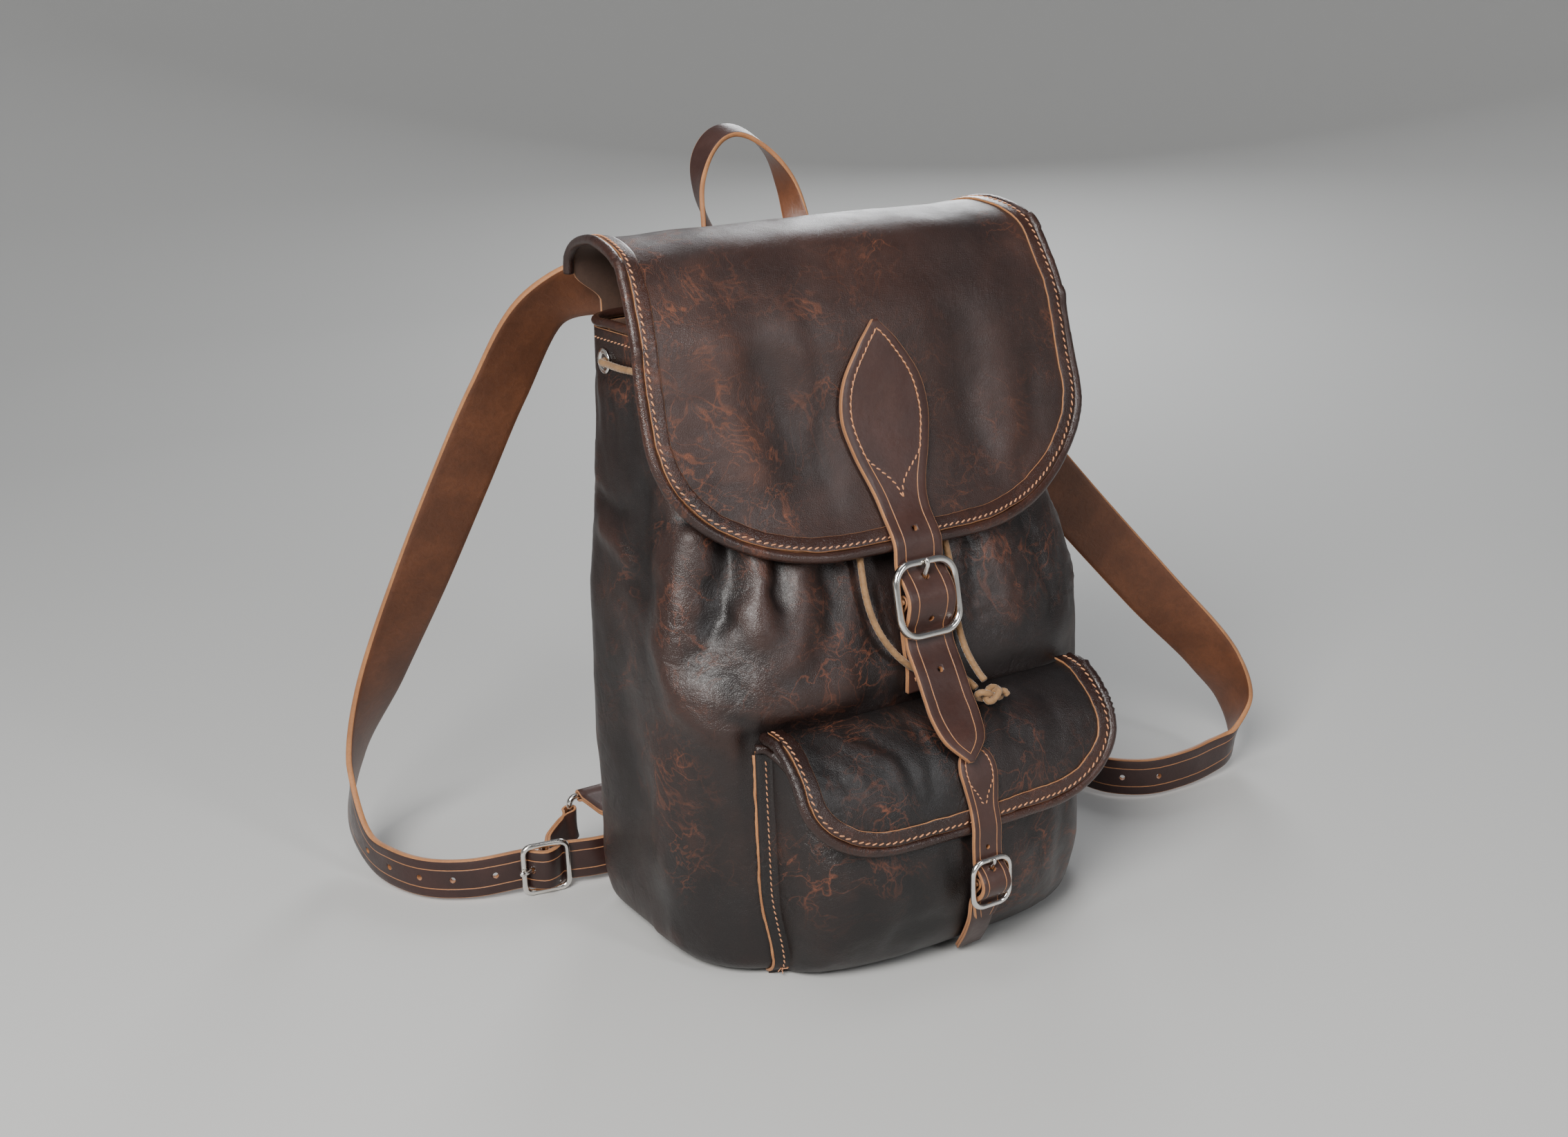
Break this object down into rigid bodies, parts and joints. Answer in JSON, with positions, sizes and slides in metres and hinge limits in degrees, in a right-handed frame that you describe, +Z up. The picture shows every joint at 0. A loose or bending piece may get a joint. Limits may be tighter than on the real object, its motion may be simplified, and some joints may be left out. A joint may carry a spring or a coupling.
{
  "type": "leather backpack",
  "caption": "Dark brown leather rucksack with a buckled flap, a front pocket with its own buckled flap, drawstring neck, carrying handle and shoulder straps.",
  "frame": {"origin": "centre of the bag's base, on the surface it stands on", "axes": "+Z up, -Y towards the front pocket, +X to the right of someone facing the front"},
  "size_m": [0.5797, 0.3802, 0.4558],
  "materials": {
    "hide": "satin",
    "binding": "satin",
    "strap_leather": "satin",
    "shoulder_leather": "satin",
    "nickel": "polished",
    "paracord": "matte"
  },
  "bodies": {
    "bag_body": {"body_panel": "hide", "back_panel": "hide", "base_panel": "hide", "mouth_binding": "binding", "eyelet_1": "nickel", "eyelet_2": "nickel", "eyelet_3": "nickel", "eyelet_4": "nickel", "eyelet_5": "nickel", "eyelet_6": "nickel", "shoulder_yoke": "hide", "neck_cord": "paracord", "buckle_chape": "strap_leather", "pocket_panel": "hide", "pocket_binding": "binding", "pocket_chape": "strap_leather", "handle_end_left": "strap_leather", "handle_end_right": "strap_leather", "left_strap_root": "shoulder_leather", "right_strap_root": "shoulder_leather", "left_tab": "strap_leather", "right_tab": "strap_leather", "left_ring": "nickel", "right_ring": "nickel", "drawstring_left": "paracord", "drawstring_right": "paracord"},
    "flap_body": {"flap_panel": "hide", "flap_binding": "binding", "flap_strap": "strap_leather"},
    "tail_body": {"strap_tail": "strap_leather"},
    "pocket_flap_body": {"pocket_flap_panel": "hide", "pocket_flap_binding": "binding", "pocket_strap": "strap_leather", "drawstring_knot": "paracord"},
    "handle_body": {"handle_loop": "strap_leather"},
    "main_buckle_body": {"main_buckle": "nickel"},
    "main_prong_body": {"main_prong": "nickel"},
    "pocket_buckle_body": {"pocket_buckle": "nickel"},
    "pocket_prong_body": {"pocket_prong": "nickel"},
    "left_strap_body": {"left_strap": "shoulder_leather", "left_buckle": "nickel", "left_chape": "strap_leather"},
    "left_prong_body": {"left_prong": "nickel"},
    "right_strap_body": {"right_strap": "shoulder_leather", "right_buckle": "nickel", "right_chape": "strap_leather"},
    "right_prong_body": {"right_prong": "nickel"}
  },
  "joints": [
    {"name": "flap_hinge", "type": "hinge", "parent": "bag_body", "child": "flap_body", "pos_m": [0, 0.0785, 0.3837], "axis": [-1, 0, 0], "range_deg": [0, 60], "deforming": ["flap_strap"]},
    {"name": "strap_tail_lift", "type": "hinge", "parent": "flap_body", "child": "tail_body", "pos_m": [0, -0.0844, 0.1804], "axis": [-1, 0, 0], "range_deg": [0, 60]},
    {"name": "pocket_flap_hinge", "type": "hinge", "parent": "bag_body", "child": "pocket_flap_body", "pos_m": [0, -0.082, 0.1485], "axis": [-1, 0, 0], "range_deg": [0, 60], "deforming": ["pocket_strap", "drawstring_left", "drawstring_right"]},
    {"name": "handle_lean", "type": "hinge", "parent": "bag_body", "child": "handle_body", "pos_m": [0, 0.086, 0.3745], "axis": [-1, 0, 0], "range_deg": [0, 25]},
    {"name": "main_buckle_tilt", "type": "hinge", "parent": "bag_body", "child": "main_buckle_body", "pos_m": [0, -0.0803, 0.207], "axis": [1, 0, 0], "range_deg": [-4, 6]},
    {"name": "main_prong_swing", "type": "hinge", "parent": "main_buckle_body", "child": "main_prong_body", "pos_m": [0, -0.0803, 0.207], "axis": [1, 0, 0], "range_deg": [0, 30]},
    {"name": "pocket_buckle_tilt", "type": "hinge", "parent": "bag_body", "child": "pocket_buckle_body", "pos_m": [0, -0.1376, 0.057], "axis": [1, 0, 0], "range_deg": [-4, 6]},
    {"name": "pocket_prong_swing", "type": "hinge", "parent": "pocket_buckle_body", "child": "pocket_prong_body", "pos_m": [0, -0.1376, 0.057], "axis": [1, 0, 0], "range_deg": [0, 30]},
    {"name": "left_strap_swing", "type": "hinge", "parent": "bag_body", "child": "left_strap_body", "pos_m": [-0.132, 0.126, 0.028], "axis": [-0.1981, 0.124, -0.9723], "range_deg": [-5, 25]},
    {"name": "left_prong_swing", "type": "hinge", "parent": "left_strap_body", "child": "left_prong_body", "pos_m": [-0.1629, 0.0994, 0.0174], "axis": [0, 0, 1], "range_deg": [0, 10]},
    {"name": "right_strap_swing", "type": "hinge", "parent": "bag_body", "child": "right_strap_body", "pos_m": [0.132, 0.126, 0.028], "axis": [-0.1981, -0.124, 0.9723], "range_deg": [-5, 25]},
    {"name": "right_prong_swing", "type": "hinge", "parent": "right_strap_body", "child": "right_prong_body", "pos_m": [0.1714, 0.0854, 0.0174], "axis": [0, 0, -1], "range_deg": [0, 10]}
  ],
  "couplings": [
    {"joint": "strap_tail_lift", "follows": "pocket_flap_hinge", "ratio": 0.95}
  ]
}
